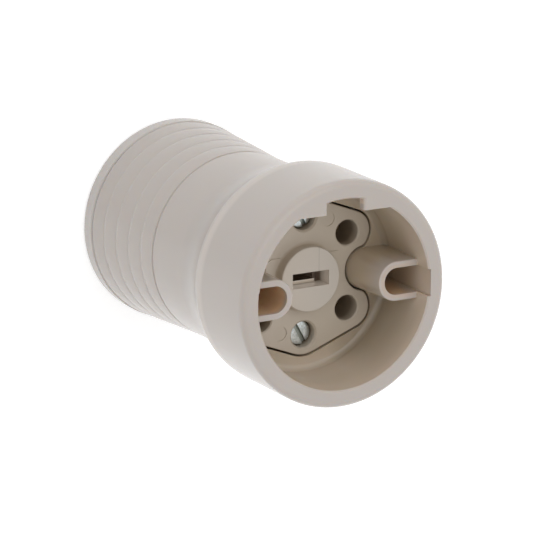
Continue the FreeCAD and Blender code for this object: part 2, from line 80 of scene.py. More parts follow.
camera_data = bpy.data.cameras.new("camera")
camera_data.lens = focal_length
camera_data.sensor_width = sensor_width
camera_data.clip_start = 0.01
camera = bpy.data.objects.new("camera", camera_data)
turn = Matrix((right, up, -forward)).transposed().to_4x4()
camera.matrix_world = Matrix.Translation(eye) @ turn
bpy.context.scene.collection.objects.link(camera)
bpy.context.scene.camera = camera
print("angle between view and axis:", round(math.degrees(forward.angle(into_mouth)), 1))

# %% [markdown]
# ## Helpers for materials
#
# Every finish here is a Principled shader with a few texture nodes in front of it. The textures read
# Object coordinates, which are metres in the frame, so a grain of 0.3 mm is a noise whose coordinates
# are divided by 0.3 mm, whatever the size of the piece. A few small helpers keep the node code short:
# one adds a node and sets its sockets, one joins two sockets, and the others make or open a material
# or put one common node into it. The Mix node has sockets for several kinds of data under the same
# names, so its colour sockets are found by their numbers, which get names here.

# %% Helpers for node trees
mix_factor = 0
mix_low = 6
mix_high = 7
mix_result = 2


def add_node(tree, kind, **inputs):
    """Adds a shader node and sets its inputs by name, spaces written as underscores."""
    node = tree.nodes.new(kind)
    for name, value in inputs.items():
        node.inputs[name.replace("_", " ")].default_value = value
    return node


def join(tree, source, output, target, target_input):
    """Links an output of one node to an input of another."""
    tree.links.new(source.outputs[output], target.inputs[target_input])


def new_material(name):
    """A material with a Principled shader, its output, and Object coordinates to read from."""
    material = bpy.data.materials.new(name)
    material.use_nodes = True
    tree = material.node_tree
    tree.nodes.clear()
    shader = tree.nodes.new("ShaderNodeBsdfPrincipled")
    output = tree.nodes.new("ShaderNodeOutputMaterial")
    join(tree, shader, "BSDF", output, "Surface")
    place = tree.nodes.new("ShaderNodeTexCoord")
    return material, tree, shader, place


def opened(material):
    """The node tree of a finished material, its shader and its coordinates, to add to them."""
    tree = material.node_tree
    return tree, tree.nodes["Principled BSDF"], tree.nodes["Texture Coordinate"]


def scaled(tree, place, size):
    """Object coordinates divided by a size, so that one unit is one grain."""
    mapping = tree.nodes.new("ShaderNodeMapping")
    mapping.inputs["Scale"].default_value = (1 / size, 1 / size, 1 / size)
    join(tree, place, "Object", mapping, "Vector")
    return mapping


def spread(tree, source, output, low, high):
    """Turns a 0 to 1 value into a range."""
    node = add_node(tree, "ShaderNodeMapRange", To_Min=low, To_Max=high)
    join(tree, source, output, node, "Value")
    return node


def blend(tree, low_colour, high_colour):
    """A node that goes from one colour to another."""
    node = tree.nodes.new("ShaderNodeMix")
    node.data_type = "RGBA"
    node.inputs[mix_low].default_value = (*low_colour, 1)
    node.inputs[mix_high].default_value = (*high_colour, 1)
    return node


def finish_nodes(material, *names):
    """Gives a carried-over piece its finish."""
    for name in names:
        for slot in nodes[name].material_slots:
            slot.material = material

# %% [markdown]
# ## Helpers for places
#
# Some colours change from place to place on one piece, most of them painted light or shade: browner down
# in the mouth, darker in a groove.
# A painted image could say where, but it needs the surface unwrapped, and it has only so many pixels.
# Arithmetic on the Object coordinates needs neither. A ramp turns one coordinate into a mask that
# goes from 0 to 1, masks multiply where both have to hold, and the product is the share of another
# colour. Every ramp below is a pair of values: where the mask is still 0, and where it has come to 1.

# %% Helpers for masks
def axes(tree, place):
    """The three Object coordinates, each as an output that other nodes can read."""
    node = tree.nodes.new("ShaderNodeSeparateXYZ")
    join(tree, place, "Object", node, "Vector")
    return node.outputs[0], node.outputs[1], node.outputs[2]


def reckon(tree, operation, *values):
    """The result of a Math node. Each value is a number or an output of another node."""
    node = tree.nodes.new("ShaderNodeMath")
    node.operation = operation
    for socket, value in zip(node.inputs, values):
        if isinstance(value, bpy.types.NodeSocket):
            tree.links.new(value, socket)
        else:
            socket.default_value = value
    return node.outputs[0]


def rising(tree, value, start, end):
    """0 before start and 1 after end, with a straight slope between. Start may be above end."""
    node = add_node(tree, "ShaderNodeMapRange", From_Min=start, From_Max=end)
    tree.links.new(value, node.inputs["Value"])
    return node.outputs[0]


def product(tree, first, *others):
    """Several values multiplied, to make one mask of several."""
    result = first
    for other in others:
        result = reckon(tree, "MULTIPLY", result, other)
    return result


def along(tree, x, y, direction):
    """How far the surface lies in a level direction."""
    return reckon(tree, "MULTIPLY_ADD", x, direction[0], reckon(tree, "MULTIPLY", y, direction[1]))


def level_distance(tree, x, y):
    """The level distance from the point that x and y are counted from."""
    return reckon(tree, "SQRT", reckon(tree, "MULTIPLY_ADD", x, x, reckon(tree, "MULTIPLY", y, y)))


def recolour(tree, shader, share, colour):
    """Takes what feeds the base colour towards another colour by a share that the surface sets."""
    now = shader.inputs["Base Color"].links[0].from_socket
    node = blend(tree, colour, colour)
    tree.links.new(now, node.inputs[mix_low])
    tree.links.new(share, node.inputs[mix_factor])
    join(tree, node, mix_result, shader, "Base Color")

# %% [markdown]
# ## The shell plastic
#
# The housing, the grip and the end cap are moulded in one warm grey-beige plastic, a little glossy
# from the polished mould. Real moulded plastic is never quite even: the polish is patchy at the scale
# of a fingertip, the skin has a very fine grain, and the colour drifts slightly where the melt
# flowed. A wide noise moves the roughness and the tint a little, and a fine one gives a faint bump.
# Light also goes a short way into such a plastic and comes out warmer, so the shader has a little
# subsurface light, which reaches farthest for red.

# %% Make a moulded plastic
plastic_ior = 1.52
tint_drift = 0.015
drift_size = 18 * mm
patch_size = 4 * mm
polish_range = 0.03
skin_height = 0.02 * mm
glow_weight = 0.3
glow_reach = (1.0, 0.5, 0.22)


def moulded_plastic(name, colour, roughness, grain, bump, glow_depth=0.0):
    """A moulded plastic with a drifting tint, patchy polish and a fine grain in its skin.

    Light goes into the skin as deep as glow_depth and comes out warmer.
    """
    material, tree, shader, place = new_material(name)
    shader.inputs["IOR"].default_value = plastic_ior
    if glow_depth:
        shader.inputs["Subsurface Weight"].default_value = glow_weight
        shader.inputs["Subsurface Radius"].default_value = glow_reach
        shader.inputs["Subsurface Scale"].default_value = glow_depth
    drift = add_node(tree, "ShaderNodeTexNoise", Scale=1.0, Detail=2.0)
    join(tree, scaled(tree, place, drift_size), "Vector", drift, "Vector")
    darker = [part * (1 - tint_drift) for part in colour]
    lighter = [part * (1 + tint_drift) for part in colour]
    tint = blend(tree, darker, lighter)
    join(tree, drift, "Fac", tint, mix_factor)
    join(tree, tint, mix_result, shader, "Base Color")
    patch = add_node(tree, "ShaderNodeTexNoise", Scale=1.0, Detail=3.0)
    join(tree, scaled(tree, place, patch_size), "Vector", patch, "Vector")
    polish = spread(tree, patch, "Fac", roughness - polish_range, roughness + polish_range)
    join(tree, polish, "Result", shader, "Roughness")
    skin = add_node(tree, "ShaderNodeTexNoise", Scale=1.0, Detail=2.0)
    join(tree, scaled(tree, place, grain), "Vector", skin, "Vector")
    relief = add_node(tree, "ShaderNodeBump", Strength=bump, Distance=skin_height)
    join(tree, skin, "Fac", relief, "Height")
    join(tree, relief, "Normal", shader, "Normal")
    return material


# %% Make the housing's plastic
shell_colour = (0.497, 0.450, 0.415)
shell_roughness = 0.25
shell_grain = 0.3 * mm
shell_bump = 0.15
shell_glow_depth = 2 * mm


def shell_moulding(name, colour):
    """The plastic of a shell: one finish for all three, each with its own colour."""
    return moulded_plastic(name, colour, shell_roughness, shell_grain, shell_bump, shell_glow_depth)


shell_plastic = shell_moulding("shell_plastic", shell_colour)
finish_nodes(shell_plastic, "front_housing")
print("shell plastic on the housing, roughness:", shell_roughness)

# %% [markdown]
# ## Tints down in the mouth
#
# Down in the mouth the real plastic looks browner than on the rim. Light gets there after several
# bounces, and each bounce takes out some of the blue. Many bounces and a deep glow could give all of
# this by light alone, slowly and with noise in the picture. Here the lamps give most of it, and a
# browner colour that comes in with depth gives the rest. The first mask, in_socket, keeps these tints
# off the outside: it holds only inside the bore, and only in the upper part of the housing.

# %% Find the mouth
tree, shader, place = opened(shell_plastic)
x, y, z = axes(tree, place)
from_axis = level_distance(tree, x, y)
bore_ramp = (24.9 * mm, 24.5 * mm)
floor_ramp = (60.0 * mm, 62.0 * mm)
in_bore = rising(tree, from_axis, *bore_ramp)
above_floor = rising(tree, z, *floor_ramp)
in_socket = product(tree, in_bore, above_floor)
print("the mouth's tints lie within radius, mm:", round(bore_ramp[0] / mm, 1))

# %% Tint the wall of the mouth
# Painted light and shade: the wall is lighter and warmer just below the rim, browner with depth as
# painted shade, and lighter again on the bottom side as painted light.
rim_wall_light_colour = (0.60, 0.50, 0.40)
deep_wall_shade_colour = (0.515, 0.43, 0.325)
bottom_wall_light_colour = (0.62, 0.53, 0.43)
wall_ramp = (23.3 * mm, 23.6 * mm)
face_ramp = (86.9 * mm, 86.2 * mm)
depth_ramp = (82.4 * mm, 74.0 * mm)
bottom_ramp = (-18.5 * mm, -22.5 * mm)
on_wall = rising(tree, from_axis, *wall_ramp)
below_face = rising(tree, z, *face_ramp)
recolour(tree, shader, product(tree, in_socket, on_wall, below_face), rim_wall_light_colour)
deep_in_mouth = rising(tree, z, *depth_ramp)
recolour(tree, shader, product(tree, in_socket, deep_in_mouth), deep_wall_shade_colour)
near_bottom = rising(tree, y, *bottom_ramp)
recolour(tree, shader, product(tree, in_socket, deep_in_mouth, near_bottom), bottom_wall_light_colour)

# %% [markdown]
# ## The corner, the notch and the hollows
#
# Three places in the mouth differ from the wall round them, and each is given painted light or shade.
# The corner under the right rib is painted darkest, because the rib hides it from most of the light. The
# sides of the key notch are painted lightest, because they lie close to the opening. The hollows of the
# ribs are painted with an orange brown glow: light enters their thin walls from all sides. Each gets a
# mask from the shape of the place. The hollow's is a slot with a round nose: its distance from a line
# that ends in the middle of the nose. The round at the foot of the wall takes some of the corner's
# painted shade too, on its right side.

# %% Tint the corner under the right rib
# Painted shade in the corner that the right rib hides from the light.
corner_shade_colour = (0.385, 0.32, 0.24)
corner_direction = (0.82, -0.57)
corner_ramp = (0.80, 1.0)
under_rib_ramp = (-5.5 * mm, -7.5 * mm)
corner_depth_ramp = (74.0 * mm, 68.0 * mm)
corner_share_above = 0.35
below_rim_ramp = (86.0 * mm, 83.0 * mm)
towards_corner = reckon(tree, "DIVIDE", along(tree, x, y, corner_direction), from_axis)
at_corner = rising(tree, towards_corner, *corner_ramp)
under_rib = rising(tree, y, *under_rib_ramp)
near_floor = reckon(tree, "MULTIPLY_ADD", rising(tree, z, *corner_depth_ramp),
                    1 - corner_share_above, corner_share_above)
below_rim = rising(tree, z, *below_rim_ramp)
in_corner = product(tree, in_socket, at_corner, under_rib, near_floor, below_rim)
recolour(tree, shader, in_corner, corner_shade_colour)
corner_angle = math.atan2(corner_direction[1], corner_direction[0])
print("the corner is darkest at angle:", round(math.degrees(corner_angle)))

# %% Tint the sides of the notch
# Painted light on the sides of the key notch.
notch_light_colour = (0.66, 0.57, 0.49)
notch_side_ramp = (6.6 * mm, 6.2 * mm)
notch_foot_ramp = (21.5 * mm, 22.0 * mm)
skirt_wall_ramp = (27.4 * mm, 27.0 * mm)
beside_notch = rising(tree, reckon(tree, "ABSOLUTE", x), *notch_side_ramp)
up_in_notch = rising(tree, y, *notch_foot_ramp)
within_skirt = rising(tree, from_axis, *skirt_wall_ramp)
in_notch = product(tree, beside_notch, up_in_notch, within_skirt, below_face, above_floor)
recolour(tree, shader, in_notch, notch_light_colour)
print("the notch's tint is as wide as, mm:", round(2 * notch_side_ramp[0] / mm, 1))

# %% Tint the hollows of the ribs
# Painted light: an orange brown glow in the hollows of the ribs, lighter still in the left one.
hollow_light_colour = (0.58, 0.40, 0.25)
left_hollow_light_colour = (0.70, 0.505, 0.325)
nose_middle = 17.2 * mm
hollow_side_ramp = (4.4 * mm, 4.0 * mm)
rib_top_ramp = (82.6 * mm, 80.5 * mm)
hollow_end_ramp = (24.2 * mm, 20.5 * mm)
left_ramp = (0.0, -1.0 * mm)
before_nose = reckon(tree, "SUBTRACT", reckon(tree, "ABSOLUTE", x), nose_middle)
past_nose = reckon(tree, "MINIMUM", before_nose, 0.0)
from_rib_middle = level_distance(tree, past_nose, y)
in_rib = rising(tree, from_rib_middle, *hollow_side_ramp)
below_rib_top = rising(tree, z, *rib_top_ramp)
before_wall = rising(tree, from_axis, *hollow_end_ramp)
in_hollow = product(tree, in_socket, in_rib, below_rib_top, before_wall)
recolour(tree, shader, in_hollow, hollow_light_colour)
on_left = rising(tree, x, *left_ramp)
recolour(tree, shader, product(tree, in_hollow, on_left), left_hollow_light_colour)
print("the hollows' tint starts below height, mm:", round(rib_top_ramp[0] / mm, 1))

# %% Tint the round of the floor
# Painted shade on the round at the foot of the wall, on its right side, in the corner's colour.
floor_round_ramp = (22.2 * mm, 22.8 * mm)
floor_round_top_ramp = (69.8 * mm, 68.8 * mm)
right_side_ramp = (1.0 * mm, 12.0 * mm)
floor_round_shade_share = 0.6
past_floor = rising(tree, from_axis, *floor_round_ramp)
below_wall = rising(tree, z, *floor_round_top_ramp)
at_floor_round = product(tree, past_floor, below_wall)
on_right = rising(tree, x, *right_side_ramp)
in_floor_round = product(tree, in_socket, at_floor_round, on_right, floor_round_shade_share)
recolour(tree, shader, in_floor_round, corner_shade_colour)
print("the floor's round is tinted on the right, share:", floor_round_shade_share)

# %% [markdown]
# ## Tints on the outside of the housing
#
# The skirt ends in a soft shoulder that catches the light, and the neck flares away below it, a little
# in its shade. The lamps show both, but weaker than the picture does, and one more lamp close by would
# strengthen them from one side only. So two bands round the body paint them: a painted highlight on the
# shoulder and painted shade on the flare. At the joint with the grip painted light makes the tint
# lighter again, because the crevice would otherwise come out darker than in the picture.

# %% Tint the shoulder and the flare
# A painted highlight on the shoulder and painted shade on the flare.
shoulder_highlight_colour = (0.575, 0.522, 0.48)
flare_shade_colour = (0.438, 0.397, 0.366)
outside_ramp = (26.5 * mm, 27.0 * mm)
shoulder_foot_ramp = (63.9 * mm, 64.7 * mm)
shoulder_top_ramp = (67.3 * mm, 66.0 * mm)
flare_foot_ramp = (47.5 * mm, 54.0 * mm)
flare_top_ramp = (64.3 * mm, 62.6 * mm)
outside = rising(tree, from_axis, *outside_ramp)
above_shoulder = rising(tree, z, *shoulder_foot_ramp)
below_skirt = rising(tree, z, *shoulder_top_ramp)
recolour(tree, shader, product(tree, outside, above_shoulder, below_skirt), shoulder_highlight_colour)
above_waist = rising(tree, z, *flare_foot_ramp)
below_shoulder = rising(tree, z, *flare_top_ramp)
recolour(tree, shader, product(tree, above_waist, below_shoulder), flare_shade_colour)
print("the flare's tint ends below height, mm:", round(flare_top_ramp[0] / mm, 1))

# %% Tint the joint
# Painted light, which lightens the shade of the joint, of the grip's end at the cap, and of the grip's
# lines on its lit side.
fill_light_colour = (0.58, 0.56, 0.545)
joint_top_ramp = (34.8 * mm, 34.3 * mm)
top_side_ramp = (0.97, 0.85)
joint_share = 0.25
near_joint = rising(tree, z, *joint_top_ramp)
away_from_top = rising(tree, reckon(tree, "DIVIDE", y, from_axis), *top_side_ramp)
recolour(tree, shader, product(tree, near_joint, away_from_top, joint_share), fill_light_colour)
print("the joint is lighter by a share of:", joint_share)

# %% [markdown]
# ## The lines of the grip
#
# Shallow ridges run round the grip, one every 5.9 mm, and a fine dark line runs in the groove between
# two of them: a furrow with painted shade in it. The frame has the ridges and the shallow grooves, but
# not the line. It could be cut into a copy of the grip, with many thousands of faces for a line as thin
# as a hair. Here it is a bump and a darker tint of painted shade: a ping-pong of the height gives the
# distance from the nearest line, whichever it is. On the lit side of the grip the picture hardly shows
# the lines, so their depth and their painted shade fade there, and the shade is painted darkest along
# the top.

# %% Find the lines of the grip
ridge_pitch = 5.9 * mm
cap_height = 4.5 * mm
furrow_ramp = (0.45 * mm, 0.0)
first_line_ramp = (1.0 * mm, 2.0 * mm)
lit_direction = (-0.67, 0.74)
lit_ramp = (0.92, 0.64)
lit_depth = 0.3
grip_plastic = shell_moulding("grip_plastic", shell_colour)
tree, shader, place = opened(grip_plastic)
x, y, z = axes(tree, place)
from_axis = level_distance(tree, x, y)
cap_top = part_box("end_cap")[0][2] + cap_height
over_cap = reckon(tree, "SUBTRACT", z, cap_top)
from_line = reckon(tree, "PINGPONG", over_cap, ridge_pitch / 2)
in_furrow = rising(tree, from_line, *furrow_ramp)
above_cap = rising(tree, over_cap, *first_line_ramp)
towards_light = reckon(tree, "DIVIDE", along(tree, x, y, lit_direction), from_axis)
out_of_light = rising(tree, towards_light, *lit_ramp)
line_depth = reckon(tree, "MULTIPLY_ADD", out_of_light, 1 - lit_depth, lit_depth)
in_line = product(tree, in_furrow, above_cap, line_depth)
print("the first line of the grip is at height, mm:", round((cap_top + ridge_pitch) / mm, 1))

# %% Darken the lines
# Painted shade in the grooves of the grip, darkest along the top.
line_shade = (0.34, 0.31, 0.29)
top_line_share = 0.54
side_line_share = 0.14
away_from_top = rising(tree, reckon(tree, "DIVIDE", y, from_axis), *top_side_ramp)
line_share = reckon(tree, "MULTIPLY_ADD", away_from_top,
                    side_line_share - top_line_share, top_line_share)
recolour(tree, shader, product(tree, in_line, line_share), line_shade)
print("share of the dark colour at the top and elsewhere:", top_line_share, side_line_share)

# %% Paint light on the lit side and the ends of the grip
# Painted light: the lines are lightened on the lit side, and so are the crevices at the cap and at the
# joint.
lit_line_share = 0.1
cap_edge_ramp = (0.9 * mm, 0.4 * mm)
cap_edge_share = 0.6
joint_foot_ramp = (33.2 * mm, 33.7 * mm)
in_light = reckon(tree, "SUBTRACT", 1.0, out_of_light)
recolour(tree, shader, product(tree, in_furrow, above_cap, in_light, lit_line_share), fill_light_colour)
near_cap = rising(tree, over_cap, *cap_edge_ramp)
near_joint = rising(tree, z, *joint_foot_ramp)
recolour(tree, shader, product(tree, near_cap, cap_edge_share), fill_light_colour)
recolour(tree, shader, product(tree, near_joint, away_from_top, joint_share), fill_light_colour)
print("the grip's two ends are tinted like the joint")

# %% Press the lines in
furrow_depth = 0.07 * mm
furrow = add_node(tree, "ShaderNodeBump", Strength=1.0, Distance=furrow_depth)
furrow.invert = True
tree.links.new(in_line, furrow.inputs["Height"])
tree.links.new(shader.inputs["Normal"].links[0].from_socket, furrow.inputs["Normal"])
join(tree, furrow, "Normal", shader, "Normal")
finish_nodes(grip_plastic, "rear_grip")
print("depth of the furrows, mm:", round(furrow_depth / mm, 2))

# %% [markdown]
# ## The end cap
#
# The cap is a moulding of its own, from the same plastic. In the picture the last ring of the grip is a
# shade lighter than the rest. Here the cap's lighter colour is painted light, which makes up for the
# shade of the floor that this end stands on. A tint by height on one shared plastic could give that too,
# but a material of its own puts the change exactly on the edge between the two pieces.

# %% Make the cap's plastic
# Painted light: a lighter colour against the shade of the floor.
cap_light_colour = (0.545, 0.51, 0.48)
cap_plastic = shell_moulding("cap_plastic", cap_light_colour)
finish_nodes(cap_plastic, "end_cap")
print("cap plastic on the end cap, colour:", cap_light_colour)

# %% [markdown]
# ## The insert plastic
#
# The contact plate and the block behind it carry live parts, so they are moulded in a harder, duller
# plastic of nearly the same colour, without a glow. The plate's face lies at the bottom of the mouth and
# looks browner than the boss that stands up from it, and its holes darken quickly with depth. Both are
# painted shade, and both follow the height over the plate's face, so both are ramps of the height. The
# picture also shows the plate lighter towards the left, so one more ramp paints light across it.

# %% Make the insert plastic
insert_colour = (0.535, 0.485, 0.425)
# Painted shade: browner on the plate's face and the foot of the boss, and darker down the holes.
face_shade_colour = (0.52, 0.455, 0.37)
hole_shade_colour = (0.27, 0.21, 0.15)
insert_roughness = 0.38
insert_grain = 0.25 * mm
insert_bump = 0.25
boss_height = 3.35 * mm
boss_side_ramp = (2.5 * mm, 0.4 * mm)
hole_ramp = (-0.9 * mm, -3.4 * mm)
insert_plastic = moulded_plastic("insert_plastic", insert_colour, insert_roughness, insert_grain,
                                 insert_bump)
tree, shader, place = opened(insert_plastic)
x, y, z = axes(tree, place)
plate_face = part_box("contact_plate")[1][2] - boss_height
above_face = reckon(tree, "SUBTRACT", z, plate_face)
recolour(tree, shader, rising(tree, above_face, *boss_side_ramp), face_shade_colour)
recolour(tree, shader, rising(tree, above_face, *hole_ramp), hole_shade_colour)
finish_nodes(insert_plastic, "contact_plate", "contact_carrier", "cord_clamp")
print("height of the plate's face, mm:", round(plate_face / mm, 2))

# %% Tint the left side of the plate
# Painted light: the plate is lighter towards the left.
left_plate_light_colour = (0.60, 0.53, 0.45)
on_face_ramp = (-0.9 * mm, 0.0)
plate_side_ramp = (3.0 * mm, -9.0 * mm)
left_plate_share = 0.75
on_face = rising(tree, above_face, *on_face_ramp)
to_left = rising(tree, x, *plate_side_ramp)
recolour(tree, shader, product(tree, on_face, to_left, left_plate_share), left_plate_light_colour)
print("the plate is lighter to the left, share:", left_plate_share)

# %% [markdown]
# ## The earth slot
#
# The slot goes through the boss into a wider chamber, where the two earth blades stand. In the picture
# the slot's walls are light, and the chamber behind is a dark brown and not black. A glow in the whole
# insert would lighten both, but the contact holes too, which have to stay dark. So the walls of the slot
# and of the chamber get painted light of their own: lighter colours set by a box and a cylinder of
# masks.

# %% Tint the slot and its chamber
# Painted light on the walls of the slot and of the chamber.
slot_wall_light_colour = (0.80, 0.73, 0.65)
chamber_light_colour = (0.58, 0.46, 0.37)
chamber_side_ramp = (7.5 * mm, 7.2 * mm)
chamber_top_ramp = (-1.0 * mm, -2.0 * mm)
slot_side_ramp = (2.0 * mm, 1.9 * mm)
slot_top_ramp = (3.3 * mm, 2.9 * mm)
slot_foot_ramp = (-1.5 * mm, 0.0)
slot_end_ramp = (5.6 * mm, 5.4 * mm)
from_axis = level_distance(tree, x, y)
beside_axis = rising(tree, from_axis, *chamber_side_ramp)
behind_face = rising(tree, above_face, *chamber_top_ramp)
recolour(tree, shader, product(tree, beside_axis, behind_face), chamber_light_colour)
inside_slot = rising(tree, reckon(tree, "ABSOLUTE", y), *slot_side_ramp)
below_boss_top = rising(tree, above_face, *slot_top_ramp)
above_chamber = rising(tree, above_face, *slot_foot_ramp)
within_boss = rising(tree, reckon(tree, "ABSOLUTE", x), *slot_end_ramp)
on_slot_wall = product(tree, inside_slot, below_boss_top, above_chamber, within_boss)
recolour(tree, shader, on_slot_wall, slot_wall_light_colour)
print("the slot's tint starts above the plate's face by, mm:", round(slot_top_ramp[0] / mm, 2))

# %% [markdown]
# ## The flow line on the boss
#
# A faint straight line runs up the boss from the slot. It looks like the place where two streams of
# melt met in the mould, which leaves no depth to speak of. It could be a shallow groove. A tint is
# simpler, and at this size one can't tell the two apart.

# %% Draw the flow line
line_colour = (0.36, 0.33, 0.28)
line_place = 2.25 * mm
line_ramp = (0.16 * mm, 0.04 * mm)
line_start_ramp = (1.8 * mm, 1.9 * mm)
boss_top_ramp = (2.5 * mm, 3.0 * mm)
flow_line_share = 0.6
beside_line = reckon(tree, "ABSOLUTE", reckon(tree, "SUBTRACT", x, line_place))
on_line = rising(tree, beside_line, *line_ramp)
above_slot = rising(tree, y, *line_start_ramp)
on_boss = rising(tree, above_face, *boss_top_ramp)
flow_line = product(tree, on_line, above_slot, on_boss, flow_line_share)
recolour(tree, shader, flow_line, line_colour)
print("width of the flow line, mm:", round(2 * line_ramp[0] / mm, 2))

# %% [markdown]
# ## Metals and rubber
#
# The screws are zinc-plated steel, bright and slightly blue, the earth blades are nickel-plated, the
# round contacts are brass, and the ring in the cable opening is a dull dark rubber. Most of these
# pieces hide inside, so one colour each is enough. An even polish would still look like a drawing, so
# one noise moves the roughness over a fine grain and also gives the grain a slight height.

# %% Make a plated metal
metal_polish_range = 0.08
metal_relief = 0.3
metal_grain_height = 0.02 * mm


def plated_metal(name, colour, roughness, grain):
    """A bright metal whose polish changes over a fine grain."""
    material, tree, shader, place = new_material(name)
    shader.inputs["Base Color"].default_value = (*colour, 1)
    shader.inputs["Metallic"].default_value = 1.0
    patch = add_node(tree, "ShaderNodeTexNoise", Scale=1.0, Detail=3.0)
    join(tree, scaled(tree, place, grain), "Vector", patch, "Vector")
    polish = spread(tree, patch, "Fac", roughness - metal_polish_range, roughness + metal_polish_range)
    join(tree, polish, "Result", shader, "Roughness")
    relief = add_node(tree, "ShaderNodeBump", Strength=metal_relief, Distance=metal_grain_height)
    join(tree, patch, "Fac", relief, "Height")
    join(tree, relief, "Normal", shader, "Normal")
    return material


# %% Finish the metal pieces and the ring
screws = [name for name in nodes if "screw" in name]
sleeves = [name for name in nodes if "sleeve" in name]
zinc_colour = (0.68, 0.71, 0.72)
zinc_steel = plated_metal("zinc_steel", zinc_colour, roughness=0.3, grain=0.6 * mm)
finish_nodes(zinc_steel, *screws)
brass_colour = (0.83, 0.66, 0.42)
brass = plated_metal("brass", brass_colour, roughness=0.28, grain=0.8 * mm)
finish_nodes(brass, *sleeves)
nickel_colour = (0.90, 0.83, 0.74)
nickel = plated_metal("nickel", nickel_colour, roughness=0.16, grain=1.2 * mm)
finish_nodes(nickel, "earth_contact")
rubber_colour = (0.05, 0.05, 0.05)
rubber = moulded_plastic("rubber", rubber_colour, roughness=0.7, grain=0.4 * mm, bump=0.4)
finish_nodes(rubber, "cable_grommet")
print("metal pieces:", len(screws) + len(sleeves) + 1)

# %% [markdown]
# ## The two plate screws
#
# Two cheese-head screws hold the contact plate, and their heads are the only bright metal that the
# picture shows. A real head is turned, so its rim is a little round and its top a little crowned, and
# its slot is sawn, with edges that are broken a little. A slot could be cut with a boolean, which
# leaves loose slivers that no bevel can follow. Here a half outline is spun round the screw's axis
# instead. Three planes then divide the head where the saw goes, the faces between them come out, and
# the walls and the floor of the slot are filled in, so that its edges can be bevelled like any others.
# The sizes are the frame's, apart from the rim, the crown and a slot that is 0.05 mm narrower.

# %% Spin a screw
head_radius = 3.0 * mm
head_height = 1.5 * mm
crown = 0.04 * mm
crown_width = 1.2 * mm
rim_round = 0.2 * mm
shaft_radius = 1.45 * mm
tip_taper = 0.45 * mm
turn_steps = 64
weld_distance = mm / 1000
match_distance = mm / 100


def spin_screw(bm, length):
    """A screw without its slot. Its head sits on z = 0 and its shaft goes down."""
    crown_start = head_radius - crown_width
    outline = [(0, -length), (shaft_radius - tip_taper, -length), (shaft_radius, tip_taper - length),
               (shaft_radius, 0), (head_radius, 0), (head_radius, head_height - crown),
               (crown_start, head_height - crown / 4), (0, head_height)]
    corners = [bm.verts.new((across, 0, up_axis)) for across, up_axis in outline]
    edges = [bm.edges.new(pair) for pair in zip(corners, corners[1:])]
    bmesh.ops.spin(bm, geom=corners + edges, cent=(0, 0, 0), axis=(0, 0, 1), dvec=(0, 0, 0),
                   angle=math.tau, steps=turn_steps, use_merge=True, use_duplicate=False)
    bmesh.ops.remove_doubles(bm, verts=bm.verts, dist=weld_distance)
    bmesh.ops.recalc_face_normals(bm, faces=bm.faces)
    rim = [edge for edge in bm.edges
           if all(abs(v.co.z - (head_height - crown)) < match_distance for v in edge.verts)
           and all(abs(v.co.xy.length - head_radius) < match_distance for v in edge.verts)]
    bmesh.ops.bevel(bm, geom=rim, offset=rim_round, segments=4, profile=0.5, affect="EDGES", material=-1)


# %% Saw the slot
slot_width = 1.15 * mm
slot_depth = 0.9 * mm
slot_edge_round = 0.07 * mm
cut_distance = mm / 10000


def saw_slot(bm):
    """Takes the slot out of a spun head, along x."""
    slot_floor = head_height - slot_depth
    half = slot_width / 2
    across = (0, 1, 0)
    upwards = (0, 0, 1)
    cuts = [((0, half, 0), across), ((0, -half, 0), across), ((0, 0, slot_floor), upwards)]
    for spot, normal in cuts:
        everything = list(bm.verts) + list(bm.edges) + list(bm.faces)
        bmesh.ops.bisect_plane(bm, geom=everything, dist=cut_distance, plane_co=spot, plane_no=normal)
    sawn = []
    for face in bm.faces:
        middle = face.calc_center_median()
        if abs(middle.y) < half and middle.z > slot_floor:
            sawn.append(face)
    bmesh.ops.delete(bm, geom=sawn, context="FACES")
    for side in (half, -half):
        corners = [v for v in bm.verts if v.is_boundary and abs(v.co.y - side) < weld_distance
                   and abs(v.co.z - slot_floor) < weld_distance]
        bmesh.ops.contextual_create(bm, geom=corners)
        wall = [edge for edge in bm.edges if len(edge.link_faces) < 2
                and all(abs(v.co.y - side) < weld_distance for v in edge.verts)]
        bmesh.ops.contextual_create(bm, geom=wall)
    floor_edges = [edge for edge in bm.edges if len(edge.link_faces) < 2]
    bmesh.ops.contextual_create(bm, geom=floor_edges)
    bmesh.ops.recalc_face_normals(bm, faces=bm.faces)
    lips = [edge for edge in bm.edges
            if all(abs(abs(v.co.y) - half) < weld_distance and v.co.z > head_height - crown
                   for v in edge.verts)]
    bmesh.ops.bevel(bm, geom=lips, offset=slot_edge_round, segments=2, profile=0.5, affect="EDGES",
                    material=-1, clamp_overlap=True)


# %% [markdown]
# ## The finish of the plate screws
#
# Zinc plating on a small head is not one even mirror: it is mottled where the bath left it thicker. Down
# in the slot a dull green grey is painted shade. The mottle is a noise that goes between two greys. The
# slot could have a mask of its own shape, but a ramp of the height is enough: it paints shade on all
# that lies below the head's top, and apart from the slot that is hidden in the screw's recess. A second
# ramp gives the slot's floor a lighter painted shade.

# %% Finish the plate screws
mottle_size = 0.6 * mm
dull_plating = (0.60, 0.66, 0.66)
bright_plating = (0.86, 0.92, 0.93)
mottle_ramp = (0.35, 0.65)
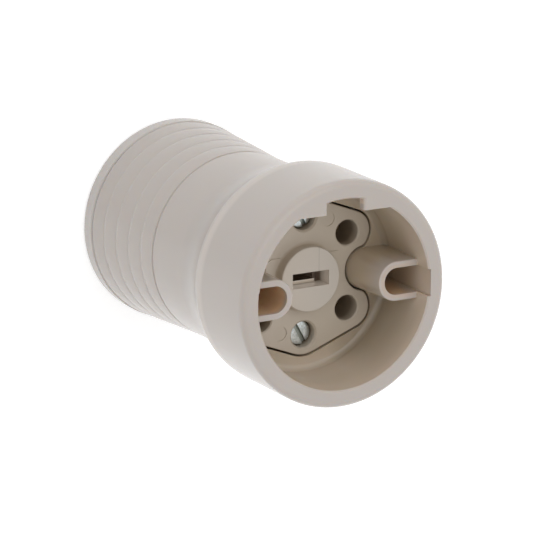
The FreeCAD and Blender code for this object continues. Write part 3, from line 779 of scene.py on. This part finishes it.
# Painted shade down in the slot, a little lighter on its floor.
slot_shade_colour = (0.26, 0.29, 0.26)
slot_dark_ramp = (-0.12 * mm, -0.35 * mm)
slot_floor_shade_colour = (0.42, 0.46, 0.43)
slot_floor_ramp = (-0.75 * mm, -0.85 * mm)
head_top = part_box("plate_screw_lower")[1].z
screw_zinc = plated_metal("screw_zinc", bright_plating, roughness=0.3, grain=0.5 * mm)
tree, shader, place = opened(screw_zinc)
x, y, z = axes(tree, place)
above_head = reckon(tree, "SUBTRACT", z, head_top)
mottle = add_node(tree, "ShaderNodeTexNoise", Scale=1.0, Detail=3.0, Roughness=0.65)
join(tree, scaled(tree, place, mottle_size), "Vector", mottle, "Vector")
plating = blend(tree, dull_plating, bright_plating)
tree.links.new(rising(tree, mottle.outputs[0], *mottle_ramp), plating.inputs[mix_factor])
join(tree, plating, mix_result, shader, "Base Color")
recolour(tree, shader, rising(tree, above_head, *slot_dark_ramp), slot_shade_colour)
recolour(tree, shader, rising(tree, above_head, *slot_floor_ramp), slot_floor_shade_colour)
print("zinc that darkens below the heads' tops, at height, mm:", round(head_top / mm, 2))


# %% Put the plate screws in place
upper_slot_angle = math.radians(-64)
lower_slot_angle = math.radians(-61)
smooth_angle = math.radians(30)


def plate_screw(node, slot_angle):
    """A detailed screw that stands for a plate screw of the frame."""
    low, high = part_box(node)
    seat = high[2] - head_height
    bm = bmesh.new()
    spin_screw(bm, seat - low[2])
    saw_slot(bm)
    bmesh.ops.rotate(bm, verts=bm.verts, cent=(0, 0, 0), matrix=Matrix.Rotation(slot_angle, 3, "Z"))
    bmesh.ops.translate(bm, verts=bm.verts, vec=((low[0] + high[0]) / 2, (low[1] + high[1]) / 2, seat))
    mesh = bpy.data.meshes.new("turned_" + node)
    bm.to_mesh(mesh)
    bm.free()
    for face in mesh.polygons:
        face.use_smooth = True
    mesh.set_sharp_from_angle(angle=smooth_angle)
    piece = bpy.data.objects.new("turned_" + node, mesh)
    bpy.context.scene.collection.objects.link(piece)
    mesh.materials.append(screw_zinc)
    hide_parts(node)
    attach(piece, "root")
    print(piece.name, "faces:", len(mesh.polygons))


plate_screw("plate_screw_upper", upper_slot_angle)
plate_screw("plate_screw_lower", lower_slot_angle)

# %% [markdown]
# ## The earth contact
#
# Two nickel-plated blades stand on a drilled block, and the earth tongue of a plug goes between them.
# Down in the slot only the end of one blade catches the light, as one thin bright line. The line is
# as bright as it is because the end of a stamped blade is flat, with hardly any rounding, so that it
# mirrors one patch of the sky. A sharp edge would look drawn and a wide bevel would break the line up,
# so each blade is a cube with a bevel of less than a tenth of a millimetre. Two things differ from the
# frame's own contact: the blades are 0.85 mm thick and not 0.6 mm, which sets the width of the line,
# and the block has no drillings, because nothing of it shows.

# %% Shape a block with rounded edges
def bevelled_block(bm, low, high, offset):
    """A box between two corners with all its edges a little round."""
    middle = (low + high) / 2
    size = high - low
    box_place = Matrix.Translation(middle) @ Matrix.Diagonal((*size, 1))
    made = bmesh.ops.create_cube(bm, size=1, matrix=box_place)
    edges = {edge for v in made["verts"] for edge in v.link_edges}
    bmesh.ops.bevel(bm, geom=list(edges), offset=offset, segments=3, profile=0.5, affect="EDGES",
                    material=-1)


# %% Shape the earth contact
blade_thickness = 0.85 * mm
blade_bevel = 0.08 * mm
blade_outer = 1.72 * mm
blade_left = -4.4 * mm
blade_right = 3.0 * mm
block_height = 8 * mm
block_bevel = 0.3 * mm
blade_root = 1 * mm
low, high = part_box("earth_contact")
block_top = low.z + block_height
bm = bmesh.new()
bevelled_block(bm, low, Vector((high.x, high.y, block_top)), block_bevel)
for side in (1, -1):
    inner = side * (blade_outer - blade_thickness)
    outer = side * blade_outer
    bevelled_block(bm, Vector((blade_left, min(inner, outer), block_top - blade_root)),
                   Vector((blade_right, max(inner, outer), high.z)), blade_bevel)
bmesh.ops.recalc_face_normals(bm, faces=bm.faces)
blades_mesh = bpy.data.meshes.new("earth_blades")
bm.to_mesh(blades_mesh)
bm.free()
print("earth blades, faces:", len(blades_mesh.polygons))

# %% Put the earth contact in place
earth_blades = bpy.data.objects.new("earth_blades", blades_mesh)
bpy.context.scene.collection.objects.link(earth_blades)
blades_mesh.materials.append(nickel)
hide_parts("earth_contact")
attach(earth_blades, "root")
print("earth blades stand for the frame's earth contact")

# %% [markdown]
# ## The floor
#
# The background is a plain pale floor. Paper that is lit like the object would render a light grey,
# so for the camera and for reflections the floor also glows a little, which takes it to white and
# still lets the object's shadow show. More light would whiten it too, but would bleach the object.
# In reflections only, the floor glows a little more on the side away from the key notch: a painted
# reflection, standing for the lit end of a photographer's table, which the glossy body mirrors.

# %% Lay the floor
floor_half_width = 4.0
bm = bmesh.new()
bmesh.ops.create_grid(bm, x_segments=1, y_segments=1, size=floor_half_width)
floor_mesh = bpy.data.meshes.new("floor")
bm.to_mesh(floor_mesh)
bm.free()
floor = bpy.data.objects.new("floor", floor_mesh)
bpy.context.scene.collection.objects.link(floor)
print("floor side, m:", 2 * floor_half_width)

# %% Make the floor's paper
paper_colour = (0.8, 0.8, 0.8)
paper_roughness = 0.9
paper_gloss = 0.2
paper_glow = 0.45
# A painted reflection: extra glow seen only in gloss, on the side away from the key notch.
painted_reflection_glow = 0.2
painted_reflection_ramp = (7 * mm, 3 * mm)
white = (1, 1, 1, 1)
paper, tree, shader, place = new_material("paper")
shader.inputs["Base Color"].default_value = (*paper_colour, 1)
shader.inputs["Roughness"].default_value = paper_roughness
shader.inputs["Specular IOR Level"].default_value = paper_gloss
light_path = tree.nodes.new("ShaderNodeLightPath")
seen_by_camera = light_path.outputs["Is Camera Ray"]
seen_in_gloss = light_path.outputs["Is Glossy Ray"]
x, y, z = axes(tree, place)
glow = reckon(tree, "MULTIPLY", reckon(tree, "MAXIMUM", seen_by_camera, seen_in_gloss), paper_glow)
in_painted_reflection = reckon(tree, "MULTIPLY", seen_in_gloss, rising(tree, y, *painted_reflection_ramp))
strength = reckon(tree, "MULTIPLY_ADD", in_painted_reflection, painted_reflection_glow, glow)
tree.links.new(strength, shader.inputs["Emission Strength"])
shader.inputs["Emission Color"].default_value = white
floor_mesh.materials.append(paper)
print("the floor glows for the camera with strength:", paper_glow)

# %% [markdown]
# ## The light
#
# The light is what a white tent gives: a bright world all round and three large soft lamps, with no
# hard edge anywhere. One lamp looks into the mouth, or its floor would be lost in the dark. One from
# the left shapes the body, and one from above brightens its upper edge. A single lamp would leave the
# ribs' shadows black, and a world alone would make every surface equally flat.

# %% Light the scene
world_strength = 0.85
world = bpy.data.worlds.new("tent")
bpy.context.scene.world = world
world.use_nodes = True
background = world.node_tree.nodes["Background"]
background.inputs["Color"].default_value = white
background.inputs["Strength"].default_value = world_strength


def soft_lamp(name, side, rise, back, size, power):
    """A square soft lamp placed by metres to the right of, above and behind the view's aim."""
    data = bpy.data.lights.new(name, "AREA")
    data.shape = "SQUARE"
    data.size = size
    data.energy = power
    lamp = bpy.data.objects.new(name, data)
    spot = aim + right * side + up * rise - forward * back
    facing = (aim - spot).to_track_quat("-Z", "Y").to_matrix().to_4x4()
    lamp.matrix_world = Matrix.Translation(spot) @ facing
    bpy.context.scene.collection.objects.link(lamp)


soft_lamp("lamp_mouth", side=0.55, rise=0.1, back=0.85, size=0.6, power=0.96)
soft_lamp("lamp_left", side=-0.85, rise=0.35, back=0.3, size=0.7, power=0.68)
soft_lamp("lamp_above", side=0.1, rise=0.95, back=0.35, size=0.7, power=0.9)
print("lamps:", len(bpy.data.lights))

# %% [markdown]
# ## The last settings
#
# A filmic view would bend the pale colours and turn the white floor grey, so the picture keeps the
# Standard view, which shows the colours as they are set.

# %% Finish
view = bpy.context.scene.view_settings
view.view_transform = "Standard"
